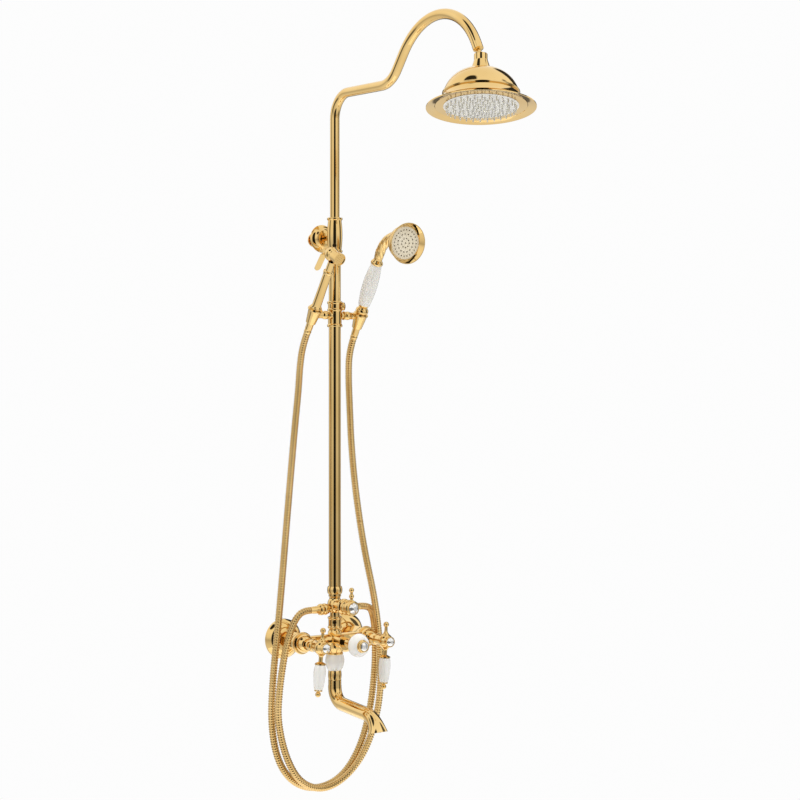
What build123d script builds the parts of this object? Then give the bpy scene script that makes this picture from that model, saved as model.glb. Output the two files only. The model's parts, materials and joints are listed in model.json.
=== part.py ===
from build123d import *

import math
import os

# A wall-mounted shower column: an exposed mixer with two lever handles and a selector knob, a riser
# with a telescopic swan-neck arm and a rain head, a sliding holder for a hand shower and a bidet
# sprayer, two hoses and a swivel spout.
# Millimetres. +X is right facing the wall, +Y goes into the wall, +Z is up. The origin lies on the
# wall plane, midway between the two supply inlets.

os.makedirs("parts", exist_ok=True)

# Driving dimensions
INLET_X = 75.0  # half the spacing of the supply inlets
RISER_H = 80.0  # the riser's axis stands this far out from the wall
THREAD_R = 10.4775  # G 1/2 thread of the supply tails
TAIL_DEPTH = 15.0  # how far a supply tail screws into the wall
RISER_R, RISER_BORE = 12.0, 10.0
RISER_LOW, RISER_TOP = 91.0, 812.0
COLLAR_LOW, COLLAR_TOP = 775.0, 844.0
BRACKET_Z = 806.0
ARM_R, ARM_BORE = 9.5, 7.5
ARM_LOW, ARM_BEND_Z = 560.0, 1042.0
LEVER_H = 150.0  # the lever handles' plane, out from the wall
HOT_TILT, COLD_TILT = 5.4, 3.0  # how far each resting lever leans, degrees
DIVERTER_Z = 70.0
OUTLET_Z = 63.5  # the two hose outlets sit a little below the diverter's handle
SLIDER_LOW, SLIDER_TOP = 626.0, 677.0
CUP_X = 53.5
CUP_AXIS_H, CUP_AXIS_Z = 85.0, 649.0  # the hinge line of both holder cups
HAND_TILT, BIDET_TILT = 30.0, 34.0  # how far each cup leans forward, degrees
HEAD_AXIS = (0.080, 0.114, 0.990)  # the rain head's axis, from the head up to its ball joint
NOZZLE_RINGS = [(0.0, 1), (13.0, 6), (25.0, 12), (37.0, 18), (49.0, 24), (61.0, 30)]
HOSE_R = 7.0
HOSE_NUT_LOW = 40.0  # a handset's hose nut ends this far below the middle of its cup
HOSE_LAST_RUN = 32.0  # each hose meets its nut in line for this far
RUNNING = 0.05  # radial clearance of a running fit
GAP = 0.3  # clearance between other moving neighbours

UP = (0, 0, 1)
OUT = (0, -1, 0)
RISER = (0, -RISER_H, 0)
NODES = {}


# Shapes


def turned(steps, origin=(0, 0, 0), axis=UP):
    """A solid of revolution. A step is (radius, height), or a pair of them for an arc: middle, end."""
    edges = []
    here = steps[0]
    for step in steps[1:] + [steps[0]]:
        curved = isinstance(step[0], tuple)
        end = step[1] if curved else step
        if end == here:
            continue
        start, stop = (here[0], 0, here[1]), (end[0], 0, end[1])
        if curved:
            edges.append(ThreePointArc(start, (step[0][0], 0, step[0][1]), stop).edge())
        else:
            edges.append(Line(start, stop).edge())
        here = end
    solid = revolve(Face(Wire(edges)), Axis.Z, 360).solid()
    return Plane(origin=origin, z_dir=axis) * solid


def rod(radius, low, high, origin=(0, 0, 0), axis=UP):
    """A plain cylinder between two heights along an axis."""
    return turned([(0, low), (radius, low), (radius, high), (0, high)], origin, axis)


def hexagon(flats, low, high, origin=(0, 0, 0), axis=UP):
    """A hexagonal prism with its corners chamfered at both ends."""
    corner = flats / math.sqrt(3)
    prism = extrude(RegularPolygon(flats / 2, 6, major_radius=False), high - low).moved(Location((0, 0, low)))
    soft = turned([(0, low), (flats / 2, low), (corner, low + 1.4), (corner, high - 1.4), (flats / 2, high), (0, high)])
    return Plane(origin=origin, z_dir=axis) * (prism & soft).solid()


def cut_stone(radius, girdle, crown, origin, axis):
    """A round stone with two sets of eight facets on its crown."""
    base = rod(radius, 0, girdle)
    cone = extrude(RegularPolygon(radius, 8, major_radius=False), crown, taper=36)
    star = extrude(RegularPolygon(radius * 1.04, 8, major_radius=False), crown, taper=48)
    top = (cone & star.rotate(Axis.Z, 22.5) & rod(radius, 0, crown)).moved(Location((0, 0, girdle)))
    return Plane(origin=origin, z_dir=axis) * (base + top).solid()


def one(shape):
    """The single solid of a boolean's result."""
    solids = shape.solids()
    assert len(solids) == 1, f"{len(solids)} solids"
    return solids[0]


def tilted(angle):
    """The direction that leans forward from straight up by an angle in degrees."""
    lean = math.radians(angle)
    return (0, -math.sin(lean), math.cos(lean))


def along(start, direction, distance):
    """The point a distance along a direction from a start point."""
    return tuple(a + distance * b for a, b in zip(start, direction))


def forward_plane(x):
    """The upright plane at x whose first axis points out from the riser and whose second points up."""
    return Plane(origin=(x, -RISER_H, 0), x_dir=(0, -1, 0), z_dir=(-1, 0, 0))


def swept(path, radius, bore=0.0):
    """A round bar or tube along a path."""
    section = Circle(radius)
    if bore:
        section = section - Circle(bore)
    return one(sweep(Plane(origin=path @ 0, z_dir=path % 0) * section, path=path))


# Supplies and mixer


def supplies():
    """The wall flanges, the supply unions, their nuts and their sealing washers."""
    flange = [(38, 0), (39.2, 0), (40, 1), (40, 7), ((31.5, 17.5), (12.6, 23)), (10.6, 23), (10.6, 21), (12, 21),
              ((30, 15.2), (38, 6.5))]
    tail = [(7, -TAIL_DEPTH), (9.6, -TAIL_DEPTH), (THREAD_R, 1 - TAIL_DEPTH), (THREAD_R, 0), (10.2, 0), (10.2, 34),
            (13.22, 34), (13.22, 50), (7, 50)]
    nut_bore = [(0, 36), (13.3, 36), (13.3, 55), (10.3, 55), (10.3, 60), (0, 60)]
    for name in ("wall_flanges", "inlet_unions", "seals", "union_nuts"):
        NODES[name] = []
    for x in (-INLET_X, INLET_X):
        origin = (x, 0, 0)
        NODES["wall_flanges"].append(turned(flange, origin, OUT))
        grip = hexagon(24, 23, 34, origin, OUT) - rod(THREAD_R - 1, 20, 36, origin, OUT)
        NODES["inlet_unions"].append(one(turned(tail, origin, OUT) + grip))
        NODES["seals"].append(turned([(8, 50), (12, 50), (12, 52), (8, 52)], origin, OUT))
        NODES["union_nuts"].append(one(hexagon(32, 36, 60, origin, OUT) - turned(nut_bore, origin, OUT)))


def mixer():
    """The mixer body: a bar between two valve chambers, and a column that carries the riser."""
    chamber = [(0, 52), (12, 52), (12, 55), (10, 55), (10, 62), (15.5, 62), (17, 63.5), (17, 76), (20.5, 76),
               ((22, 79), (20.5, 82)), (18, 82), ((16.6, 92), (11.2, 99)), (0, 99)]
    column = [(0, -66), (11, -66), (11, -28), (15.9, -28), ((16.5, -26), (15.9, -24)), (15, -24),
              ((19, -13), (20, -3)), (19.6, 5), ((12.8, 12.5), (10, 22)), (10, 24), (9.9, 24), (9.9, 40), (0, 40)]
    boss = [(0, 80), (13, 80), (13, 115), (15, 115), ((15.6, 118), (15, 121)), (0, 121)]
    body = rod(13, -INLET_X, INLET_X, RISER, (1, 0, 0)) + turned(column, RISER) + turned(boss, axis=OUT)
    facets = extrude(RegularPolygon(13.6, 6, major_radius=False), 15).moved(Location((0, -RISER_H, 5)))
    body = body + (facets & turned([(0, 5), (19.6, 5), (12, 20), (0, 20)], RISER))
    bores = [rod(6.5, -INLET_X, INLET_X, RISER, (1, 0, 0)), rod(7.5, -66, 40, RISER),
             turned([(0, 80), (7, 80), (7, 92), (9.5, 92), (9.5, 121), (0, 121)], axis=OUT)]
    for x in (-INLET_X, INLET_X):
        body = body + turned(chamber, (x, 0, 0), OUT)
        bores.append(turned([(0, 52), (7, 52), (7, 78), (9.5, 78), (9.5, 99), (0, 99)], (x, 0, 0), OUT))
    for bore in bores:
        body = body - bore
    NODES["mixer_body"] = [one(body)]
    side_work = [(4.2, 80), (9.45, 80), (9.45, 99), (11, 99), (11, 101.5), (9, 101.5), (9, 117), (4.2, 117)]
    knob_work = [(4.2, 95), (9.45, 95), (9.45, 121), (11.5, 121), (11.5, 123.5), (9.5, 123.5), (9.5, 142), (4.2, 142)]
    NODES["valve_headworks"] = [turned(side_work, (x, 0, 0), OUT) for x in (-INLET_X, INLET_X)]
    NODES["valve_headworks"].append(turned(knob_work, axis=OUT))


def lever_handle(name, x, tilt):
    """A lever handle that hangs down: a gold hub and finial, a ceramic grip and a crystal cap."""
    hub = turned([(9.5, 114), (12, 114), (12, 121), ((10.8, 124.5), (10.5, 129)), (10.5, 139.29),
                  ((15, 150), (10.5, 160.71)), (10.5, 167.2), (9.8, 168), (8.7, 168), (8.7, 163), (0, 163), (0, 138),
                  (4.2, 138), (4.2, 124), (9.5, 124)], (x, 0, 0), OUT)
    centre = (x, -LEVER_H, 0)
    finial = [(0, 8), (8, 8), (7, 14), ((4.2, 17.5), (3.2, 23)), (3, 28.27), ((5.6, 33), (0.5, 38.58)), (0, 38.58)]
    stem = [(0, -8), (9, -8), (8, -13), ((5.2, -15.5), (4.2, -18)), (4, -27), ((7, -28.6), (10.8, -30.5)),
            (10.8, -33), (3, -33), (3, -81), (7.5, -81), ((8, -82.5), (7.5, -84)), (3, -84.6), (3, -85.51),
            ((5.4, -90), (0.5, -95.38)), (0, -95.38)]
    bore = turned([(0, 120), (4.2, 120), (4.2, 138), (0, 138)], (x, 0, 0), OUT)
    seat = turned([(0, 163), (8.7, 163), (8.7, 168), (0, 168)], (x, 0, 0), OUT)
    grip = [(3.1, -33), (10, -33), ((11.7, -45), (11.2, -58)), ((9.9, -71), (8.2, -81)), (3.1, -81)]
    spindle = rod(4.15, 84, 138, (x, 0, 0), OUT)
    pieces = {
        "hub": one(hub + turned(finial, centre) + turned(stem, centre) - bore - seat),
        "spindle": spindle,
        "grip": turned(grip, centre),
        "crystal": cut_stone(8.6, 4.4, 5.4, (x, -163, 0), OUT),
    }
    for piece, solid in pieces.items():
        NODES[f"{name}_{piece}"] = [solid.rotate(Axis((x, 0, 0), (0, 1, 0)), tilt)]


def selector_knob():
    """The selector: a ceramic knob on a gold core, with a gold bezel and a domed button."""
    core = [(0, 100), (4.15, 100), (4.15, 142.3), (11.8, 142.3), ((12.4, 145.5), (11.6, 148.5)), (11, 150),
            (11.8, 153.2), (8, 153.2), (8, 179.3), (0, 179.3)]
    ceramic = [(8.1, 153.2), (11.8, 153.2), ((20, 158.7), (23.2, 166.5)), ((20, 174.3), (13, 179.3)), (8.1, 179.3)]
    bezel = [(0, 179.3), (12.6, 179.3), ((12.2, 181), (11, 182)), (11, 186.4), (10.4, 187), (8.6, 187), (8.6, 184),
             (0, 184)]
    NODES["knob_core"] = [turned(core, axis=OUT)]
    NODES["knob_ceramic"] = [turned(ceramic, axis=OUT)]
    NODES["knob_bezel"] = [turned(bezel, axis=OUT)]
    NODES["knob_crystal"] = [turned([(0, 184), (8.5, 184), (8.5, 187), ((6, 188.6), (0.5, 189.2)), (0, 189.2)], axis=OUT)]


# Diverter and riser


def diverter():
    """The diverter above the mixer: its body, its sleeve, its hose outlets and its handle."""
    barrel = [(0, 40), (9.9, 40), (9.9, 56), (11, 57.5), ((15, 70), (11, 83)), (11, 86), (12.5, 88),
              (12.5, RISER_LOW), (9.9, RISER_LOW), (9.9, 106), (0, 106)]
    branch = [(0, 80), (11, 80), (11, 108), (14.5, 110), ((16, 113.5), (14.8, 117)), (13, 118.5), (13, 121), (0, 121)]
    level = (0, 0, DIVERTER_Z)
    cross = (0, -RISER_H, OUTLET_Z)
    body = turned(barrel, RISER) + turned(branch, level, OUT) + rod(7, -30, 30, cross, (1, 0, 0))
    body = body - rod(7, 40, 106, RISER) - rod(4.2, 80, 121, level, OUT) - rod(4.5, -30, 30, cross, (1, 0, 0))
    NODES["diverter_body"] = [one(body)]
    outlet = [(7.05, 17), (9.5, 17), (10.2, 20), ((11.6, 24.5), (10.2, 29)), ((11.5, 33.5), (9.4, 38)), (7.7, 38.6),
              (7.5, 46), (6.6, 58), (5, 58), (5, 31), (7.05, 31)]
    NODES["hose_outlet_nuts"] = [turned(outlet, cross, (side, 0, 0)) for side in (-1, 1)]
    hub = [(0, 96), (4.15, 96), (4.15, 121.3), (13.5, 121.3), ((15.5, 126), (14.4, 131)), ((13.6, 133), (14.2, 135)),
           ((15.4, 141), (14.2, 147)), (12.4, 147.6), (12.4, 149), (10.7, 149), (10.7, 145), (0, 145)]
    finial = [(0, 11), (5.8, 11), (5, 14.5), ((3.4, 16), (3, 18.5)), (3, 19.4), ((5, 23.4), (3, 27.4)), (2.6, 31.23),
              ((5, 35.5), (0.5, 40.47)), (0, 40.47)]
    seat = rod(10.7, 145, 149, level, OUT)
    NODES["diverter_hub"] = [one(turned(hub, level, OUT) + turned(finial, (0, -141, DIVERTER_Z)) - seat)]
    NODES["diverter_crystal"] = [cut_stone(10.6, 4.0, 6.0, (0, -145, DIVERTER_Z), OUT)]


def riser():
    """The riser tube with its lower sleeve and nut, its top collar and its wall bracket."""
    sleeve = [(10, 24), (13.5, 24), ((14.2, 26), (13.2, 28)), (12.8, 29), (12.8, 42), ((14.2, 44.5), (13.5, 47)),
              (10, 47)]
    screw_out = (-0.574, -0.819, 0)
    screw_at = (0, -RISER_H, 37)
    collar_screw_at = (0, -RISER_H, 788)
    NODES["neck_sleeve"] = [one(turned(sleeve, RISER) - rod(4.05, 9, 16, screw_at, screw_out))]
    nut = [(RISER_R + RUNNING, 93), (14, 93), ((15.3, 100), (14, 107.5)), (RISER_R + RUNNING, 107.5)]
    NODES["riser_nut"] = [turned(nut, RISER)]
    tube = [(RISER_BORE, RISER_LOW), (RISER_R, RISER_LOW), (RISER_R, RISER_TOP), (RISER_BORE, RISER_TOP)]
    NODES["riser_tube"] = [turned(tube, RISER)]
    arm_fit = ARM_R + RUNNING
    bore = turned([(0, COLLAR_LOW), (RISER_R, COLLAR_LOW), (RISER_R, RISER_TOP), (arm_fit, RISER_TOP),
                   (arm_fit, COLLAR_TOP), (0, COLLAR_TOP)], RISER)
    collar = turned([(0, COLLAR_LOW), (15, COLLAR_LOW), ((15.5, 777), (15, 779)), (13.4, 780.5),
                     ((15.3, 809.5), (13.4, 838.5)), (15, 840), ((15.5, 842), (15, COLLAR_TOP)), (0, COLLAR_TOP)], RISER)
    height = (0, 0, BRACKET_Z)
    boss = rod(7, 60, 70, height, OUT)
    socket = rod(5, 58, 66, height, OUT)
    screw_hole = rod(4.05, 9, 20, collar_screw_at, screw_out)
    NODES["riser_collar"] = [one(collar + boss - bore - socket - screw_hole)]
    NODES["bracket_stud"] = [turned([(0, 0), (14, 0), (14, 3), (5, 3), (5, 66), (0, 66)], height, OUT)]
    cover = [(5.1, 42.4), (13.5, 42.4), ((19, 35.4), (26, 33.2)), (26, 32), (28, 32), (28, 33.5), ((21, 36.6), (17.5, 41)),
             ((17.7, 43), (15, 44.4)), (11, 45), (11, 48), (5.1, 48)]
    NODES["bracket_escutcheon"] = [turned(cover, height, OUT)]
    NODES["grub_screws"] = [
        Plane(origin=screw_at, z_dir=screw_out) * one(rod(4, 10.2, 12.4) - socket_hex(11)),
        Plane(origin=collar_screw_at, z_dir=screw_out) * one(rod(4, 12.2, 14.2) - socket_hex(12.8)),
    ]


def socket_hex(low):
    """The hexagon socket of a grub screw, from a height upwards."""
    return extrude(RegularPolygon(2, 6, major_radius=False), 5).moved(Location((0, 0, low)))


# Spout


def spout():
    """The swivel spout, the ceramic ring above it and the nut that holds it."""
    ring = [(11, -28), (16, -28), ((18.9, -40), (17.4, -50)), ((15.4, -56), (12.6, -60)), (11, -60)]
    nut = [(11, -60), (12.6, -60), ((13.6, -69.5), (12.6, -79)), (9.5, -79), (9.5, -70.2), (11, -70.2)]
    NODES["spout_ceramic_ring"] = [turned(ring, RISER)]
    NODES["spout_nut"] = [turned(nut, RISER)]
    tail = [(7, -66.4), (10.6, -66.4), (10.6, -69.9), (9.45, -69.9), (9.45, -79.3), (13, -79.3), (13, -92), (7, -92)]
    down = Line((0, -91), (0, -93))
    bend = JernArc(down @ 1, down % 1, 31, 86)
    level = Line(bend @ 1, (bend @ 1) + (bend % 1) * 88)
    curl = JernArc(level @ 1, level % 1, 40, -71)
    path = forward_plane(0) * Wire([edge.edge() for edge in (down, bend, level)])
    curl_path = forward_plane(0) * Wire([curl.edge()])
    outer = swept(path, 13.4) + mouth(curl_path, 13.4, 21, 16)
    inner = swept(path, 11) + mouth(curl_path, 11, 19, 14)
    NODES["spout"] = [one(turned(tail, RISER) + outer - inner - rod(7, -92, -66, RISER))]


def mouth(path, tube, half_width, half_depth):
    """The spout's curl: a loft from the round tube to its flared oval mouth."""
    sections = []
    for share in (0, 0.35, 0.7, 1):
        flare = share * share * share
        width = tube + (half_width - tube) * flare
        depth = tube + (half_depth - tube) * flare
        place = Plane(origin=path @ share, x_dir=(1, 0, 0), z_dir=path % share)
        sections.append(place * Ellipse(width, depth).face())
    return loft(sections)


# Arm and rain head


def arm():
    """The telescopic swan-neck arm, the bush that guides it and its ball. Returns the ball's centre."""
    upright = Line((0, ARM_LOW + GAP), (0, ARM_BEND_Z))
    elbow = JernArc(upright @ 1, upright % 1, 46, -93)
    level = Line(elbow @ 1, (elbow @ 1) + (elbow % 1) * 119)
    rise = JernArc(level @ 1, level % 1, 60, 54)
    slope = Line(rise @ 1, (rise @ 1) + (rise % 1) * 37)
    crook = JernArc(slope @ 1, slope % 1, 133, -114)
    end = Line(crook @ 1, (crook @ 1) + (crook % 1) * 13)
    curves = (upright, elbow, level, rise, slope, crook, end)
    path = forward_plane(0) * Wire([curve.edge() for curve in curves])
    NODES["shower_arm"] = [swept(path, ARM_R, ARM_BORE)]
    bush = [(5, ARM_LOW - 20), (RISER_BORE - RUNNING, ARM_LOW - 20), (RISER_BORE - RUNNING, ARM_LOW),
            (ARM_BORE - RUNNING, ARM_LOW), (ARM_BORE - RUNNING, ARM_LOW + 20), (5, ARM_LOW + 20)]
    NODES["arm_bush"] = [turned(bush, RISER)]
    heading = tuple(path % 1)
    ball = along(tuple(path @ 1), heading, 15)
    back = tuple(-part for part in heading)
    stud = [(0, -8), ((8, 0), (3, 7.416)), (3, 11), (9.5, 15), (7.5, 15), (7.5, 27), (0, 27)]
    NODES["arm_ball"] = [one(turned(stud, ball, back) - rod(1.8, -9, 28, ball, back))]
    return ball


def rain_head(ball):
    """The rain head, which hangs from the arm's ball by a swivel ring and a socket."""
    ring = [(5.16, -6.5), (6.65, -6.5), ((8.08, -4.6), (8.93, -2.6)), (7.88, -2.6), ((6.91, -4.6), (5.16, -6.5))]
    NODES["swivel_ring"] = [turned(ring, ball, HEAD_AXIS)]
    socket = [(4, -25), (4, -8.73), ((7.9, -5.45), (9.6, 0.2)), (8.3, 0.2), ((8.05, 2.02), (7.46, 3.64)),
              (11.4, 3.64), (12, 3), (12, -8), (12.6, -9.5), ((14, -14), (18, -25))]
    NODES["head_swivel"] = [turned(socket, ball, HEAD_AXIS)]
    shell = [(12, -25), (18, -25), ((46.7, -36.7), (66, -65)), ((68.5, -67.5), (66.5, -70)), ((77, -84.5), (97, -93)),
             (97, -94.5), (95, -94.5), ((88.5, -93.3), (82, -91.5)), ((73, -83.5), (64.5, -70)), (64.5, -65),
             ((45.4, -38.4), (12, -27))]
    NODES["head_shell"] = [turned(shell, ball, HEAD_AXIS)]
    plate = [(0, -88.5), (78, -88.5), (81, -91.2), (0, -91.2)]
    NODES["head_plate"] = [turned(plate, ball, HEAD_AXIS)]
    nozzle = turned([(0, -91.2), (1.9, -91.2), (1.6, -94.2), (1.1, -101), (0, -101)])
    face = Plane(origin=ball, z_dir=HEAD_AXIS)
    NODES["head_nozzles"] = []
    for radius, count in NOZZLE_RINGS:
        for step in range(count):
            turn = math.radians(360 * step / count)
            spot = Location((radius * math.cos(turn), radius * math.sin(turn), 0))
            NODES["head_nozzles"].append(face * nozzle.moved(spot))


# Slider, cups and handsets


def slider():
    """The slider on the riser, with an arm to each side, and its lock knob."""
    bore = RISER_R + RUNNING
    sleeve = [(bore, 626), (14.6, 626), ((15.4, 628.5), (14.6, 631)), (13.6, 632), (13.6, 657), ((15.2, 660), (13.6, 663)),
              (13.6, 671), (14.6, 672), ((15.4, 674.5), (14.6, SLIDER_TOP)), (bore, SLIDER_TOP)]
    arm_steps = [(0, 11), (6, 11), (6, 15.5), (8.4, 16.2), ((8.9, 17.6), (8.4, 19)), (6.2, 20), ((8.6, 26.5), (6.2, 33)),
                 (6.2, 34), (3.95, 34), (3.95, 42), (0, 42)]
    hinge = (0, -CUP_AXIS_H, CUP_AXIS_Z)
    knob_out = (0.7071, -0.7071, 0)
    knob_at = (0, -RISER_H, 667)
    body = turned(sleeve, RISER)
    for side in (-1, 1):
        body = body + turned(arm_steps, hinge, (side, 0, 0))
    body = body - rod(bore, SLIDER_LOW, SLIDER_TOP, RISER) - rod(4, 11, 17, knob_at, knob_out)
    NODES["slider_sleeve"] = [one(body)]
    knob = [(0, 12.6), (3.95, 12.6), (3.95, 15.9), (7.2, 15.9), ((8.2, 17.6), (7.6, 19.6)), ((4.5, 21), (0.5, 21.4)), (0, 21.4)]
    NODES["lock_knob"] = [turned(knob, knob_at, knob_out)]


def cup_centre(side):
    """The middle of a holder cup: the left one holds the bidet sprayer, the right one the hand shower."""
    return (-CUP_X, -84.0, 647.0) if side < 0 else (CUP_X, -86.5, 640.0)


def cup(name, side, tilt):
    """A conical holder cup with the boss that it pivots on."""
    walls = [(7.8, -16), (10, -16), (13.4, 12), ((15, 14), (14.2, 16)), (11.4, 16)]
    centre = cup_centre(side)
    hinge = (0, -CUP_AXIS_H, CUP_AXIS_Z)
    boss = rod(7, 34 + GAP, 47, hinge, (side, 0, 0))
    pin_bore = rod(4, 34, 42.3, hinge, (side, 0, 0))
    hollow = turned([(0, -16), (7.8, -16), (11.4, 16), (0, 16)], centre, tilted(tilt))
    NODES[name] = [one(turned(walls, centre, tilted(tilt)) + (boss - hollow) - pin_bore)]


def hose_nut(centre, axis):
    """The slim nut that ties a hose to its handset below the cup."""
    steps = [(4.5, -HOSE_NUT_LOW), (6.8, -HOSE_NUT_LOW), ((7.4, -38), (7.3, -35)), (6.7, -33.5), (7.4, -31), (7.4, -16), (4.5, -16)]
    return turned(steps, centre, axis)


def hand_shower():
    """The hand shower: its hose nut, conical connector, ceramic grip, curved neck, head and face."""
    centre, axis = cup_centre(1), tilted(HAND_TILT)
    connector = [(4.5, -16), (7.5, -16), (11.1, 16), (11.1, 17.5), ((13, 22.5), (10.4, 28)), (8.4, 31),
                 ((9.6, 33), (11.5, 36.6)), (4.5, 36.6)]
    grip = [(4.6, 36.6), (11.5, 36.6), ((15, 75), (10.5, 125.8)), (4.6, 125.8)]
    ferrule = [(4.6, 125.8), (11.2, 125.8), ((12.4, 129.5), (10.6, 133)), (8.5, 136), (8.5, 138), (4.6, 138)]
    NODES["hand_hose_nut"] = [hose_nut(centre, axis)]
    NODES["hand_connector"] = [turned(connector, centre, axis)]
    NODES["hand_grip"] = [turned(grip, centre, axis)]
    start = along(centre, axis, 137)
    straight = Line((-start[1] - RISER_H, start[2]), (-start[1] - RISER_H + 6.5, start[2] + 6.5 * math.sqrt(3)))
    bend = JernArc(straight @ 1, straight % 1, 60, -70)
    last = Line(bend @ 1, (bend @ 1) + (bend % 1) * 9)
    path = forward_plane(CUP_X) * Wire([curve.edge() for curve in (straight, bend, last)])
    dip = math.radians(10)
    facing = (0, -math.cos(dip), -math.sin(dip))
    rim = (CUP_X, -RISER_H - 177, 782)
    back = [(0, -30), (12, -30), ((27, -26), (33.4, -14)), ((35.4, -6), (40, 0))]
    shell = back + [(40, 1.5), (38.4, 1.5), ((34.6, -3.5), (31.8, -8)), (31.8, -10), (30.5, -10), (30.5, -14.5),
                    ((25, -24.3), (12, -28)), (0, -28)]
    solid_back = turned(back + [(0, 0)], rim, facing)
    NODES["hand_neck"] = [one(turned(ferrule, centre, axis) + swept(path, 8.5, 4.6) - solid_back)]
    NODES["hand_head"] = [turned(shell, rim, facing)]
    face = rod(31.7, -10, -8)
    for radius, count in ((25.5, 24), (17.6, 15), (8.8, 9), (0, 1)):
        for step in range(count):
            turn = math.radians(360 * step / count)
            spot = Location((radius * math.cos(turn), radius * math.sin(turn), 0))
            face = face - rod(0.8, -11, -7).moved(spot)
    NODES["hand_face"] = [Plane(origin=rim, z_dir=facing) * one(face)]


def bidet_sprayer():
    """The bidet sprayer: its hose nut, tube, angled head and trigger."""
    centre, axis = cup_centre(-1), tilted(BIDET_TILT)
    tube = [(4.5, -16), (7.5, -16), (11.1, 16), (11.1, 17.5), ((12, 19.5), (10.5, 21.5)), (9.2, 23), (8.6, 60),
            (8.6, 95), (9.6, 96.5), ((10, 99), (9.6, 101.5)), (7.2, 103), (6.8, 122), (4.5, 122)]
    middle = (-CUP_X, -RISER_H - 73, 763)
    ball = turned([(0, -14.3), ((14.3, 0), (0, 14.3))], middle)
    NODES["bidet_hose_nut"] = [hose_nut(centre, axis)]
    droop = math.radians(23)
    nozzle_out = (0, -math.cos(droop), -math.sin(droop))
    barrel = [(0, 0), (11, 0), (11, 22), (12.3, 24), (12.3, 31.5), (10.8, 31.5), (10.8, 30), (0, 30)]
    bodies = ball + turned(barrel, middle, nozzle_out)
    for radius, count in ((0, 1), (4, 6), (8, 12)):
        for step in range(count):
            turn = math.radians(360 * step / count)
            spot = Location((radius * math.cos(turn), radius * math.sin(turn), 0))
            bodies = bodies - Plane(origin=middle, z_dir=nozzle_out) * rod(0.6, 28, 31).moved(spot)
    pivot = (-CUP_X, -RISER_H - 55, 772)
    lean = Plane(origin=pivot, x_dir=(0, -1, 0), z_dir=(-1, 0, 0))
    lugs = [lean * bar((0, 0), (13, -6), 7, 2.5, side * 5.55) + lean * rod(3.5, side * 5.55 - 1.25, side * 5.55 + 1.25)
            for side in (-1, 1)]
    pin = rod(1.95, -6.8, 6.8, pivot, (1, 0, 0))
    bodies = bodies + lugs[0] + lugs[1] + pin - turned(tube[:-1] + [(0, 122), (0, -16)], centre, axis)
    NODES["bidet_tube"] = [turned(tube, centre, axis)]
    NODES["bidet_head"] = [one(bodies)]
    elbow, tip = (-11, -6), (-34, -31.2)
    thickness, half_width = 2.6, 6.3
    across = Vector(tip[1] - elbow[1], elbow[0] - tip[0], 0)
    tip_plane = Plane(origin=(tip[0], tip[1], 0), z_dir=across)
    paddle = bar(elbow, tip, thickness, 2 * half_width) + tip_plane * Cylinder(half_width, thickness)
    lever = rod(4, -4, 4) + bar((0, 0), elbow, 3, 8) + paddle
    NODES["bidet_trigger"] = [lean * one(lever - rod(2, -5, 5))]


def bar(start, end, thickness, width, offset=0.0):
    """A flat bar between two points of the XY plane, as wide as stated along Z."""
    middle = ((start[0] + end[0]) / 2, (start[1] + end[1]) / 2, offset)
    run = (end[0] - start[0], end[1] - start[1], 0)
    return Plane(origin=middle, x_dir=run, z_dir=(0, 0, 1)) * Box(math.hypot(*run[:2]), thickness, width)


# Hoses


HAND_HOSE = [(-58, -80, 63.5), (-75, -80, 63.5), (-91, -80, 50), (-103, -80, 27), (-113, -80, -3), (-121, -80, -40),
             (-129, -80, -90), (-132, -79, -148), (-112, -77, -223), (-77, -76, -279), (-19, -75, -299), (41, -74, -274), (85, -76, -220),
             (112, -78, -132), (109, -83, -32), (88, -95, 72), (74, -75, 176), (62, -62, 290), (56, -55, 385),
             (58, -46, 460), (58, -41, 530)]
BIDET_HOSE = [(58, -80, 63.5), (81, -80, 63.5), (103, -64, 44), (114, -56, -2), (113, -56, -72), (101, -57, -154),
              (76, -58, -228), (34, -57, -282), (-22, -56, -300), (-78, -56, -284), (-118, -57, -236),
              (-135, -58, -158), (-131, -59, -66), (-120, -60, 30), (-110, -60, 130), (-99, -58, 235),
              (-87, -55, 340), (-73, -47, 430), (-60, -39, 500), (-54.5, -35, 545)]


def hose(name, route, side, tilt, cuts):
    """A hose to a cup, as three lengths cut square in the middle of the runs that start at the cuts."""
    ends = [along(cup_centre(side), tilted(tilt), -HOSE_NUT_LOW - back) for back in (HOSE_LAST_RUN, 0)]
    points = [Vector(*point) for point in route + ends]
    runs = [after - before for before, after in zip(points, points[1:])]
    radii = []
    for before, after in zip(runs, runs[1:]):
        shorter = min(before.length, after.length)
        radii.append(0.45 * shorter / math.tan(math.radians(before.get_angle(after) / 2)))
    print(name, "bend radii", [round(radius) for radius in radii])
    bounds = [0] + cuts + [len(points) - 1]
    for letter, low, high in zip("abc", bounds, bounds[1:]):
        piece = points[low + 1:high + 1]
        piece.insert(0, points[0] if low == 0 else (points[low] + points[low + 1]) * 0.5)
        if high < len(points) - 1:
            piece.append((points[high] + points[high + 1]) * 0.5)
        corners = radii[low:low + len(piece) - 2]
        path = FilletPolyline(*piece, radius=corners)
        tube = swept(path, HOSE_R)
        print(name, letter, "length", round(path.length), "volume ratio",
              round(tube.volume / (math.pi * HOSE_R ** 2 * path.length), 4))
        NODES[f"{name}_{letter}"] = [tube]


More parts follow.
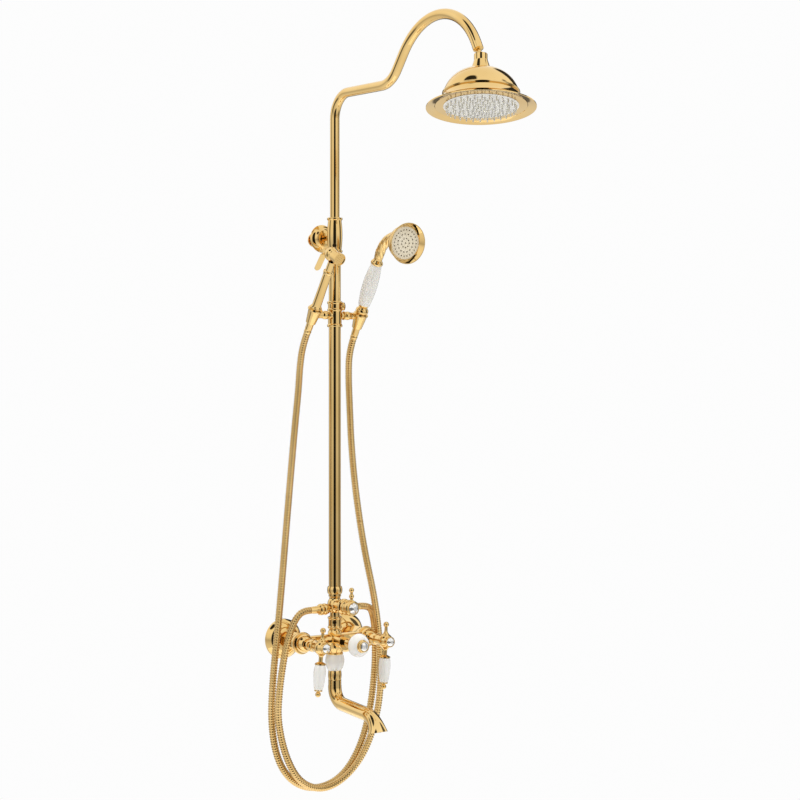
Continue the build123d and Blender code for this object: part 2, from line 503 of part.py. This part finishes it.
supplies()
mixer()
lever_handle("hot", -INLET_X, HOT_TILT)
lever_handle("cold", INLET_X, COLD_TILT)
selector_knob()
diverter()
riser()
spout()
ball = arm()
rain_head(ball)
slider()
cup("left_cup", -1, BIDET_TILT)
cup("right_cup", 1, HAND_TILT)
hand_shower()
bidet_sprayer()
hose("hand_hose", HAND_HOSE, 1, HAND_TILT, [16, 18])
hose("bidet_hose", BIDET_HOSE, -1, BIDET_TILT, [15, 17])

for node, solids in NODES.items():
    export_step(solids[0] if len(solids) == 1 else Compound(solids), f"parts/{node}.step")
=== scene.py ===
import json
import math

import bpy
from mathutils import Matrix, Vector


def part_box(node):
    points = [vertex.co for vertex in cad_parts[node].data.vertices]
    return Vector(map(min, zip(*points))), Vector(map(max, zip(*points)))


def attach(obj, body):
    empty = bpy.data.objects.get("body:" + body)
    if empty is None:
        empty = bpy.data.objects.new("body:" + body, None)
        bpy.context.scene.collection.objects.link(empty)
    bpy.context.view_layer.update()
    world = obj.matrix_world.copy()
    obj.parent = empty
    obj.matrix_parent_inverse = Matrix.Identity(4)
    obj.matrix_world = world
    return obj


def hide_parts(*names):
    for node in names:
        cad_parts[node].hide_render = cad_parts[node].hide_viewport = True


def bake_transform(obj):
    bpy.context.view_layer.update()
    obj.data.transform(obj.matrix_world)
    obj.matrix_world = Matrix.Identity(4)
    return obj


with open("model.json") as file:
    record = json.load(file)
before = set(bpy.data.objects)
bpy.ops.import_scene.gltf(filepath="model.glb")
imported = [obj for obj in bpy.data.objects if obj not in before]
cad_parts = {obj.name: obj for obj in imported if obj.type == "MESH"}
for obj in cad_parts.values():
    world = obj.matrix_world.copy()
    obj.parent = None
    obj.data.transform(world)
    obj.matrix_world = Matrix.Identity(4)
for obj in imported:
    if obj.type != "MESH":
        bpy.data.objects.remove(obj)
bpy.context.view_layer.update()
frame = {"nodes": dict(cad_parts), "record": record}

# Sizes in metres, in the frame of the CAD model: +Y into the wall, +Z up, origin between the inlets.

# Camera
CAMERA_AT = (-1.72863, -2.77608, 0.480)
CAMERA_TURN = -35.0  # degrees from +Y
LENS, SENSOR = 72.0, 36.0

# The tent's grey level, from light that comes from straight below (0) to straight above (1)
TENT_LEVELS = [(0.0, 0.95), (0.30, 0.72), (0.44, 0.50), (0.56, 0.88), (0.75, 1.0), (1.0, 0.90)]
TENT_TINT = (1.0, 0.99, 0.96)
TENT_STRENGTH = 1.05
BACKDROP = (0.98, 0.98, 0.98, 1)
# Black cards inside the tent: degrees right of the camera, degrees up, half width in degrees, how many
# times taller than wide, level
CARDS = [
    (1.0, 2.0, 20.0, 2.2, 0.02),
    (-55.0, 58.0, 13.0, 1.0, 0.03),
    (150.0, 30.0, 13.0, 1.6, 0.03),
    (180.0, 0.0, 40.0, 0.35, 0.22),
    (95.0, 15.0, 12.0, 3.0, 0.10),
    (-80.0, 0.0, 10.0, 3.0, 0.25),
]
CARD_EDGE = 5.0  # degrees over which a card's edge fades

# Floor, which glows a little so that it runs into the backdrop
FLOOR_Z, FLOOR_HALF, FLOOR_GLOW = -0.62, 0.75, 0.22

# Handsets in their cups
CUP_X = 0.0535
HAND_CUP, HAND_TILT = (CUP_X, -0.0865, 0.640), 30.0
BIDET_CUP, BIDET_TILT = (-CUP_X, -0.0840, 0.647), 34.0

# Hoses
HOSE_NUT_LOW, HOSE_LAST_RUN = 0.040, 0.032
HOSE_R, HOSE_SIDES = 0.0071, 20
RIB_DEPTH, RIB_PITCH, RINGS_A_RIB = 0.0011, 0.0050, 8
LINE_STEPS = 24  # steps of each stretch of a route's smooth line
# A part of each hose's loop, from one place on X to another; nothing below reads it
HAND_LOOP, BIDET_LOOP = (-0.055, 0.056), (0.055, -0.090)

# Rain head: its axis, and the pale disc round its nozzles, a painted reflection of the white tent on the
# polished
# plate: radius, both faces below the middle of the plate, the height of its sloped rim and the share of the
# radius where the rim starts
HEAD_AXIS = (0.080, 0.114, 0.990)
DISC_R, DISC_HIGH, DISC_LOW = 0.0665, 0.0013, 0.0019
DISC_ROUND, DISC_ROUND_SHARE, DISC_SIDES = 0.0003, 0.97, 96

# Hand shower's neck: where it starts along the cup's axis, its straight, its bend and the bend's degrees
NECK_START, NECK_STRAIGHT, NECK_BEND_R, NECK_BEND = 0.140, 0.010, 0.060, 66
NECK_R, NECK_RELIEF, NECK_STRANDS, NECK_TURNS = 0.0086, 0.0012, 6, 0.9
NECK_FADE, NECK_SIDES = 12, 72  # at each end the relief fades out over one part in twelve of the neck

# Hand shower's face: how far it looks down, half its thickness, and its jets
FACE_DIP, FACE_HALF = 10.0, 0.001
JET_R, JET_SIDES = 0.00125, 12
JET_RINGS = ((0.0255, 24), (0.0176, 15), (0.0088, 9), (0.0, 1))  # (radius, how many)
JET_STEPS = ((-0.0002, 1.0), (0.0003, 1.0), (0.0006, 0.7))  # (height, share of the radius)


# Camera, light and floor


def make_camera():
    data = bpy.data.cameras.new("camera")
    data.lens = LENS
    data.sensor_width = SENSOR
    camera = bpy.data.objects.new("camera", data)
    camera.location = CAMERA_AT
    camera.rotation_euler = (math.radians(90), 0, math.radians(CAMERA_TURN))
    bpy.context.collection.objects.link(camera)
    bpy.context.scene.camera = camera


def area_light(name, at, target, size, power, colour=(1, 1, 1)):
    """A soft light that polished metal doesn't mirror: its reflections all come from the tent."""
    data = bpy.data.lights.new(name, "AREA")
    data.shape = "RECTANGLE"
    data.size, data.size_y = size
    data.energy = power
    data.color = colour
    light = bpy.data.objects.new(name, data)
    light.visible_glossy = False
    light.location = at
    light.rotation_euler = (Vector(target) - Vector(at)).to_track_quat("-Z", "Y").to_euler()
    bpy.context.collection.objects.link(light)


def make_world():
    """A white tent: plain for the camera, and with black cards for what polished metal mirrors."""
    world = bpy.data.worlds.new("studio")
    bpy.context.scene.world = world
    world.use_nodes = True
    nodes, links = world.node_tree.nodes, world.node_tree.links
    nodes.clear()
    coords = nodes.new("ShaderNodeTexCoord")
    split = nodes.new("ShaderNodeSeparateXYZ")
    links.new(coords.outputs["Generated"], split.inputs[0])
    height = colour_ramp(nodes, TENT_LEVELS, TENT_TINT)
    remap = nodes.new("ShaderNodeMapRange")
    remap.inputs["From Min"].default_value = -1
    links.new(split.outputs["Z"], remap.inputs["Value"])
    links.new(remap.outputs[0], height.inputs[0])
    light = height.outputs[0]
    for card in CARDS:
        light = hang_card(nodes, links, coords.outputs["Generated"], light, *card)
    mirrored = nodes.new("ShaderNodeBackground")
    mirrored.inputs["Strength"].default_value = TENT_STRENGTH
    links.new(light, mirrored.inputs[0])
    plain = nodes.new("ShaderNodeBackground")
    plain.inputs[0].default_value = BACKDROP
    path = nodes.new("ShaderNodeLightPath")
    mix = nodes.new("ShaderNodeMixShader")
    links.new(path.outputs["Is Camera Ray"], mix.inputs[0])
    links.new(mirrored.outputs[0], mix.inputs[1])
    links.new(plain.outputs[0], mix.inputs[2])
    out = nodes.new("ShaderNodeOutputWorld")
    links.new(mix.outputs[0], out.inputs[0])


def hang_card(nodes, links, direction, light, aside, up, half_width, tall, level):
    """Darkens the tent's light inside one card, and returns the darkened light."""
    turn = math.radians(CAMERA_TURN - 90 + aside)
    rise = math.radians(up)
    middle = Vector((math.cos(turn) * math.cos(rise), math.sin(turn) * math.cos(rise), math.sin(rise) / tall))
    middle.normalize()
    flat = nodes.new("ShaderNodeVectorMath")
    flat.operation = "MULTIPLY"
    flat.inputs[1].default_value = (1, 1, 1 / tall)
    links.new(direction, flat.inputs[0])
    unit = nodes.new("ShaderNodeVectorMath")
    unit.operation = "NORMALIZE"
    links.new(flat.outputs[0], unit.inputs[0])
    near = nodes.new("ShaderNodeVectorMath")
    near.operation = "DOT_PRODUCT"
    near.inputs[1].default_value = middle
    links.new(unit.outputs[0], near.inputs[0])
    shade = nodes.new("ShaderNodeMapRange")
    shade.interpolation_type = "SMOOTHSTEP"
    shade.inputs["From Min"].default_value = math.cos(math.radians(half_width + CARD_EDGE))
    shade.inputs["From Max"].default_value = math.cos(math.radians(half_width))
    shade.inputs["To Min"].default_value = 1
    shade.inputs["To Max"].default_value = level
    links.new(near.outputs["Value"], shade.inputs["Value"])
    darker = nodes.new("ShaderNodeVectorMath")
    darker.operation = "SCALE"
    links.new(light, darker.inputs[0])
    links.new(shade.outputs[0], darker.inputs["Scale"])
    return darker.outputs[0]


def colour_ramp(nodes, stops, tint):
    """A ramp through grey levels, each with its place, tinted."""
    ramp = nodes.new("ShaderNodeValToRGB")
    elements = ramp.color_ramp.elements
    while len(elements) < len(stops):
        elements.new(0.5)
    for element, (place, level) in zip(elements, stops):
        element.position = place
        element.color = (*(level * part for part in tint), 1)
    return ramp


def make_lights():
    middle = (0, -0.2, 0.4)
    area_light("key", (-2.2, -1.0, 2.0), middle, (2.0, 2.6), 30, (1.0, 0.98, 0.95))
    area_light("side", (2.2, -1.6, 0.8), middle, (1.0, 2.6), 16, (1.0, 0.98, 0.95))
    area_light("top", (0.2, -0.9, 2.8), (0, -0.3, 0.4), (2.4, 2.0), 22)


def make_floor():
    corners = [(x * FLOOR_HALF, y * FLOOR_HALF, FLOOR_Z) for x, y in ((-1, -1), (1, -1), (1, 1), (-1, 1))]
    floor = new_piece("floor", corners, [(0, 1, 2, 3)], plaster("floor_plaster", (0.93, 0.93, 0.925)))


def new_piece(name, vertices, faces, material, smooth=False):
    """An object in the scene, made from a list of vertices and a list of faces."""
    mesh = bpy.data.meshes.new(name)
    mesh.from_pydata(vertices, [], faces)
    if smooth:
        mesh.shade_smooth()
    mesh.materials.append(material)
    piece = bpy.data.objects.new(name, mesh)
    bpy.context.collection.objects.link(piece)
    return piece


# Materials


def shader(name, colour, roughness, metallic=0.0):
    """A new Principled material. Returns the material, its nodes, its links and the shader node."""
    material = bpy.data.materials.new(name)
    material.use_nodes = True
    nodes, links = material.node_tree.nodes, material.node_tree.links
    bsdf = nodes["Principled BSDF"]
    bsdf.inputs["Base Color"].default_value = (*colour, 1)
    bsdf.inputs["Roughness"].default_value = roughness
    bsdf.inputs["Metallic"].default_value = metallic
    return material, nodes, links, bsdf


def noise(nodes, links, scale, detail=4.0):
    """A noise texture over the object's own coordinates."""
    coords = nodes.new("ShaderNodeTexCoord")
    texture = nodes.new("ShaderNodeTexNoise")
    texture.inputs["Scale"].default_value = scale
    texture.inputs["Detail"].default_value = detail
    links.new(coords.outputs["Object"], texture.inputs["Vector"])
    return texture


def vary_colour(nodes, links, bsdf, texture, low, high, ends=(0.35, 0.65)):
    """Drives the base colour between two colours."""
    ramp = nodes.new("ShaderNodeValToRGB")
    ramp.color_ramp.elements[0].position, ramp.color_ramp.elements[1].position = ends
    ramp.color_ramp.elements[0].color = (*low, 1)
    ramp.color_ramp.elements[1].color = (*high, 1)
    links.new(texture.outputs["Fac"], ramp.inputs[0])
    links.new(ramp.outputs[0], bsdf.inputs["Base Color"])


def vary_roughness(nodes, links, bsdf, texture, low, high):
    remap = nodes.new("ShaderNodeMapRange")
    remap.inputs["From Min"].default_value, remap.inputs["From Max"].default_value = 0.3, 0.7
    remap.inputs["To Min"].default_value, remap.inputs["To Max"].default_value = low, high
    links.new(texture.outputs["Fac"], remap.inputs["Value"])
    links.new(remap.outputs[0], bsdf.inputs["Roughness"])


def add_bump(nodes, links, bsdf, texture, strength, distance):
    bump = nodes.new("ShaderNodeBump")
    bump.inputs["Strength"].default_value = strength
    bump.inputs["Distance"].default_value = distance
    links.new(texture.outputs["Fac"], bump.inputs["Height"])
    links.new(bump.outputs[0], bsdf.inputs["Normal"])


def polished_gold(name, low=(0.83, 0.56, 0.215), high=(0.90, 0.64, 0.28), rough=(0.03, 0.06)):
    """Gold plating: slow colour drift, a haze of fine wipe marks and a faint cast unevenness."""
    material, nodes, links, bsdf = shader(name, high, rough[0], 1.0)
    vary_colour(nodes, links, bsdf, noise(nodes, links, 9.0, 3.0), low, high)
    vary_roughness(nodes, links, bsdf, noise(nodes, links, 140.0, 6.0), *rough)
    add_bump(nodes, links, bsdf, noise(nodes, links, 30.0, 1.0), 0.015, 0.0003)
    return material


def glazed_ceramic(name):
    """Warm white porcelain under a clear glaze, with faint clouding and a slightly wavy surface."""
    material, nodes, links, bsdf = shader(name, (0.93, 0.92, 0.89), 0.10)
    bsdf.inputs["Coat Weight"].default_value = 0.7
    bsdf.inputs["Coat Roughness"].default_value = 0.04
    bsdf.inputs["Subsurface Weight"].default_value = 0.08
    bsdf.inputs["Subsurface Radius"].default_value = (0.004, 0.003, 0.002)
    vary_colour(nodes, links, bsdf, noise(nodes, links, 30.0, 3.0), (0.90, 0.885, 0.85), (0.94, 0.93, 0.905))
    vary_roughness(nodes, links, bsdf, noise(nodes, links, 220.0, 4.0), 0.07, 0.16)
    add_bump(nodes, links, bsdf, noise(nodes, links, 60.0, 1.0), 0.03, 0.0003)
    return material


def cut_crystal(name):
    """Clear crystal with a silver foil behind it, which throws the light back through the facets."""
    material, nodes, links, bsdf = shader(name, (0.95, 0.95, 0.94), 0.03, 0.75)
    bsdf.inputs["Coat Weight"].default_value = 1.0
    bsdf.inputs["Coat Roughness"].default_value = 0.02
    bsdf.inputs["IOR"].default_value = 1.55
    vary_colour(nodes, links, bsdf, noise(nodes, links, 420.0, 1.0), (0.72, 0.72, 0.72), (0.98, 0.98, 0.97))
    return material


def moulded(name, low, high, rough, bump=0.1):
    """Moulded plastic or rubber: fine mottling and a soft grain."""
    material, nodes, links, bsdf = shader(name, high, rough[0])
    vary_colour(nodes, links, bsdf, noise(nodes, links, 70.0, 4.0), low, high)
    vary_roughness(nodes, links, bsdf, noise(nodes, links, 300.0, 3.0), *rough)
    add_bump(nodes, links, bsdf, noise(nodes, links, 900.0, 2.0), bump, 0.0002)
    return material


def silicone(name):
    material, nodes, links, bsdf = shader(name, (0.90, 0.88, 0.82), 0.35)
    bsdf.inputs["Transmission Weight"].default_value = 0.25
    bsdf.inputs["Subsurface Weight"].default_value = 0.3
    bsdf.inputs["Subsurface Radius"].default_value = (0.002, 0.002, 0.0015)
    vary_colour(nodes, links, bsdf, noise(nodes, links, 200.0, 3.0), (0.88, 0.86, 0.78), (0.95, 0.94, 0.90))
    return material


def plaster(name, colour):
    """Pale matt plaster with a little light of its own, so that it runs into the white backdrop."""
    material, nodes, links, bsdf = shader(name, colour, 0.75)
    bsdf.inputs["Emission Color"].default_value = (1, 1, 1, 1)
    bsdf.inputs["Emission Strength"].default_value = FLOOR_GLOW
    darker = tuple(part * 0.97 for part in colour)
    vary_colour(nodes, links, bsdf, noise(nodes, links, 2.5, 5.0), darker, colour)
    add_bump(nodes, links, bsdf, noise(nodes, links, 40.0, 4.0), 0.05, 0.001)
    return material


def make_materials():
    """The material of every slot, and those of the pieces made here."""
    return {
        "gold": polished_gold("gold"),
        "hose": polished_gold("hose", (0.66, 0.44, 0.17), (0.80, 0.56, 0.25), (0.10, 0.16)),
        "ceramic": glazed_ceramic("ceramic"),
        "crystal": cut_crystal("crystal"),
        "face": moulded("face", (0.93, 0.84, 0.65), (0.96, 0.88, 0.71), (0.22, 0.30), 0.03),
        "silicone": silicone("silicone"),
        # Pale matt colour of the disc on the rain head's plate: a painted reflection of the white tent in the
        # polished metal.
        "mat": moulded("painted_plate_reflection", (0.85, 0.84, 0.81), (0.92, 0.91, 0.88), (0.35, 0.45), 0.05),
        "jets": moulded("jet_rubber", (0.10, 0.075, 0.045), (0.16, 0.12, 0.075), (0.4, 0.5), 0.03),
        "seal": moulded("seal", (0.015, 0.013, 0.012), (0.03, 0.028, 0.025), (0.45, 0.6)),
        # Near-black gold-brown for the tilt screws' end caps: a painted dark reflection, not their own
        # colour.
        "screw_steel": polished_gold("screw_steel", (0.10, 0.07, 0.035), (0.20, 0.14, 0.07), (0.25, 0.4)),
    }


def dress_nodes(materials):
    """Gives every CAD node its slot's material."""
    for entry in frame["record"]["subparts"]:
        node = frame["nodes"][entry["node"]]
        slots = node.material_slots
        if not slots:
            node.data.materials.append(materials[entry["material_slot"]])
        for place in slots:
            place.material = materials[entry["material_slot"]]


# Hoses


def hose_end(cup, tilt):
    """The last two points of a hose, in line with its nut below the cup."""
    lean = math.radians(tilt)
    axis = Vector((0, -math.sin(lean), math.cos(lean)))
    return [Vector(cup) - axis * (HOSE_NUT_LOW + back) for back in (HOSE_LAST_RUN, 0)]


HAND_HOSE = [
    (-0.058, -0.080, 0.0635), (-0.075, -0.080, 0.0635), (-0.091, -0.080, 0.050), (-0.103, -0.080, 0.027),
    (-0.113, -0.080, -0.003), (-0.121, -0.080, -0.040), (-0.129, -0.080, -0.090), (-0.132, -0.079, -0.148),
    (-0.112, -0.077, -0.223), (-0.077, -0.076, -0.279), (-0.019, -0.075, -0.299), (0.041, -0.074, -0.274),
    (0.085, -0.076, -0.220), (0.112, -0.078, -0.132), (0.109, -0.083, -0.032), (0.088, -0.095, 0.072),
    (0.074, -0.075, 0.176), (0.062, -0.062, 0.290), (0.056, -0.055, 0.385), (0.058, -0.046, 0.460),
    (0.058, -0.041, 0.530),
]
BIDET_HOSE = [
    (0.058, -0.080, 0.0635), (0.081, -0.080, 0.0635), (0.103, -0.064, 0.044), (0.114, -0.056, -0.002),
    (0.113, -0.056, -0.072), (0.101, -0.057, -0.154), (0.076, -0.058, -0.228), (0.034, -0.057, -0.282),
    (-0.022, -0.056, -0.300), (-0.078, -0.056, -0.284), (-0.118, -0.057, -0.236), (-0.135, -0.058, -0.158),
    (-0.131, -0.059, -0.066), (-0.120, -0.060, 0.030), (-0.110, -0.060, 0.130), (-0.099, -0.058, 0.235),
    (-0.087, -0.055, 0.340), (-0.073, -0.047, 0.430), (-0.060, -0.039, 0.500), (-0.0545, -0.035, 0.545),
]


def spline_points(name, route):
    """The points along the smooth line of a route."""
    data = bpy.data.curves.new(name + "_line", "CURVE")
    data.dimensions = "3D"
    data.resolution_u = LINE_STEPS
    spline = data.splines.new("NURBS")
    spline.points.add(len(route) - 1)
    for point, place in zip(spline.points, route):
        point.co = (*place, 1)
    spline.order_u = 3
    spline.use_endpoint_u = True
    line = bpy.data.objects.new(name + "_line", data)
    mesh = bpy.data.meshes.new_from_object(line)
    points = [vertex.co.copy() for vertex in mesh.vertices]
    bpy.data.objects.remove(line)
    bpy.data.meshes.remove(mesh)
    return points


def even_steps(points, step):
    """Points at an even spacing along a line, its ends among them, and the line's length."""
    lengths = [0.0]
    for before, after in zip(points, points[1:]):
        lengths.append(lengths[-1] + (after - before).length)
    count = max(2, round(lengths[-1] / step))
    even = []
    at = 0
    for number in range(count + 1):
        wanted = lengths[-1] * number / count
        while at < len(points) - 2 and lengths[at + 1] < wanted:
            at += 1
        share = (wanted - lengths[at]) / max(1e-9, lengths[at + 1] - lengths[at])
        even.append(points[at].lerp(points[at + 1], share))
    return even, lengths[-1]


def ring(centre, across, up, radius, sides):
    """The points of a circle."""
    points = []
    for side in range(sides):
        turn = 2 * math.pi * side / sides
        points.append(centre + (across * math.cos(turn) + up * math.sin(turn)) * radius)
    return points


def band(first, second, sides):
    """The faces between two circles of points, given the number of each one's first point."""
    faces = []
    for side in range(sides):
        other = (side + 1) % sides
        faces.append((first + side, first + other, second + other, second + side))
    return faces


def tube_along(name, centres, sides, radius_at, material):
    """A closed round bar along a line. radius_at gives its radius at a point's number and a turn."""
    vertices, faces = [], []
    across = (centres[1] - centres[0]).orthogonal().normalized()
    last = len(centres) - 1
    for number, centre in enumerate(centres):
        ahead = (centres[min(number + 1, last)] - centres[max(number - 1, 0)]).normalized()
        across = (across - ahead * across.dot(ahead)).normalized()
        up = ahead.cross(across)
        for side in range(sides):
            turn = 2 * math.pi * side / sides
            spoke = across * math.cos(turn) + up * math.sin(turn)
            vertices.append(centre + spoke * radius_at(number, turn))
    for number in range(last):
        faces += band(number * sides, (number + 1) * sides, sides)
    faces.append(tuple(reversed(range(sides))))
    faces.append(tuple(last * sides + side for side in range(sides)))
    return new_piece(name, vertices, faces, material, smooth=True)


def rib_radius(number, turn):
    """The radius of a hose, ribbed as if wound from metal strip."""
    swell = math.sin(math.pi * (number % RINGS_A_RIB) / RINGS_A_RIB)
    return HOSE_R - RIB_DEPTH * (1 - swell)


def make_hose(name, route, cup, tilt, cuts, bodies, material):
    """One hose in three lengths, each yielded with the body at its start and the body at its end."""
    points = [Vector(place) for place in route] + hose_end(cup, tilt)
    bounds = [0, *cuts, len(points) - 1]
    for letter, low, high, start_body, end_body in zip("abc", bounds, bounds[1:], bodies, bodies[1:]):
        piece = [points[0] if low == 0 else (points[low] + points[low + 1]) / 2]
        piece += points[low + 1:high + 1]
        if high < len(points) - 1:
            piece.append((points[high] + points[high + 1]) / 2)
        centres, length = even_steps(spline_points(name, piece), RIB_PITCH / RINGS_A_RIB)
        tube = tube_along(f"{name}_{letter}_ribbed", centres, HOSE_SIDES, rib_radius, material)
        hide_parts(f"{name}_{letter}")
        tuple(piece[0])
        [tuple(centre) for centre in centres]
        yield tube, centres, start_body, end_body


def make_hoses(material):
    """Both hoses, with a loop at the bottom of each. Every length stays where it is made."""
    hand_bodies = ("root", "slider", "hand_cup", "hand_shower")
    bidet_bodies = ("root", "slider", "bidet_cup", "bidet_sprayer")
    sides = [
        ("hand_hose", HAND_HOSE, HAND_CUP, HAND_TILT, (16, 18), hand_bodies, HAND_LOOP),
        ("bidet_hose", BIDET_HOSE, BIDET_CUP, BIDET_TILT, (15, 17), bidet_bodies, BIDET_LOOP),
    ]
    for name, route, cup, tilt, cuts, bodies, loop in sides:
        for tube, centres, start_body, end_body in make_hose(name, route, cup, tilt, cuts, bodies, material):
            if start_body == "root":
                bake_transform(tube)
            else:
                tuple(centres[0])
                tuple(centres[-1])
                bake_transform(tube)


# Pieces added to the CAD model


def neck_line():
    """Points along the hand shower's neck: a short straight, then a bend forwards to the head."""
    lean = math.radians(HAND_TILT)
    here = Vector(HAND_CUP) + Vector((0, -math.sin(lean), math.cos(lean))) * NECK_START
    heading = 90 - HAND_TILT
    step = math.radians(1) * NECK_BEND_R
    points = [here.copy()]
    for number in range(round(NECK_STRAIGHT / step) + NECK_BEND):
        turn = math.radians(heading)
        here = here + Vector((0, -math.cos(turn), math.sin(turn))) * step
        points.append(here.copy())
        if len(points) * step > NECK_STRAIGHT:
            heading -= 1
    return points


def neck_twist(material):
    """The twisted rope pattern that the neck of the hand shower is cast with."""
    line = neck_line()

    def radius_at(number, turn):
        share = number / (len(line) - 1)
        strand = abs(math.sin((turn + share * NECK_TURNS * 2 * math.pi) * NECK_STRANDS / 2))
        fade = min(1.0, share * NECK_FADE, (1 - share) * NECK_FADE)
        return NECK_R + NECK_RELIEF * strand * fade

    piece = tube_along("hand_neck_twist", line, NECK_SIDES, radius_at, material)
    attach(piece, "hand_shower")


def spray_jets(material):
    """The small rubber jets round the holes of the hand shower's face."""
    dip = math.radians(FACE_DIP)
    out = Vector((0, -math.cos(dip), -math.sin(dip)))
    across = Vector((1, 0, 0))
    up = out.cross(across)
    low, high = (Vector(corner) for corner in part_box("hand_face"))
    middle = (low + high) / 2 + out * FACE_HALF
    vertices, faces = [], []
    for radius, count in JET_RINGS:
        for centre in ring(middle, across, up, radius, count):
            first = len(vertices)
            top = first + 2 * JET_SIDES
            for height, share in JET_STEPS:
                vertices += ring(centre + out * height, across, up, JET_R * share, JET_SIDES)
            faces += band(first, first + JET_SIDES, JET_SIDES)
            faces += band(first + JET_SIDES, top, JET_SIDES)
            faces.append(tuple(range(top, top + JET_SIDES)))
            faces.append(tuple(reversed(range(first, first + JET_SIDES))))
    piece = new_piece("hand_face_jets", vertices, faces, material)
    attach(piece, "hand_shower")


def painted_reflection_disc(material):
    """A pale disc round the nozzles, on the face of the rain head: a painted reflection of the white tent on
    the polished plate.
    """
    axis = Vector(HEAD_AXIS).normalized()
    across = axis.orthogonal().normalized()
    up = axis.cross(across)
    low, high = (Vector(corner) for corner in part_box("head_plate"))
    middle = (low + high) / 2
    steps = [(DISC_LOW, DISC_ROUND_SHARE), (DISC_LOW - DISC_ROUND, 1.0), (DISC_HIGH, 1.0)]
    vertices = [middle - axis * DISC_LOW]
    for drop, share in steps:
        vertices += ring(middle - axis * drop, across, up, DISC_R * share, DISC_SIDES)
    vertices.append(middle - axis * DISC_HIGH)
    last_ring = 1 + (len(steps) - 1) * DISC_SIDES
    faces = []
    for number in range(len(steps) - 1):
        faces += band(1 + (number + 1) * DISC_SIDES, 1 + number * DISC_SIDES, DISC_SIDES)
    for side in range(DISC_SIDES):
        other = (side + 1) % DISC_SIDES
        faces.append((0, 1 + side, 1 + other))
        faces.append((len(vertices) - 1, last_ring + other, last_ring + side))
    piece = new_piece("painted_reflection_disc", vertices, faces, material)
    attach(piece, "rain_head")


# The scene: the Standard transform keeps the backdrop white
bpy.context.scene.view_settings.view_transform = "Standard"
make_camera()
make_world()
make_lights()
materials = make_materials()
make_floor()
make_hoses(materials["hose"])
dress_nodes(materials)
neck_twist(materials["gold"])
# The pale disc on the rain head's plate is a painted reflection of the white tent.
painted_reflection_disc(materials["mat"])
spray_jets(materials["jets"])
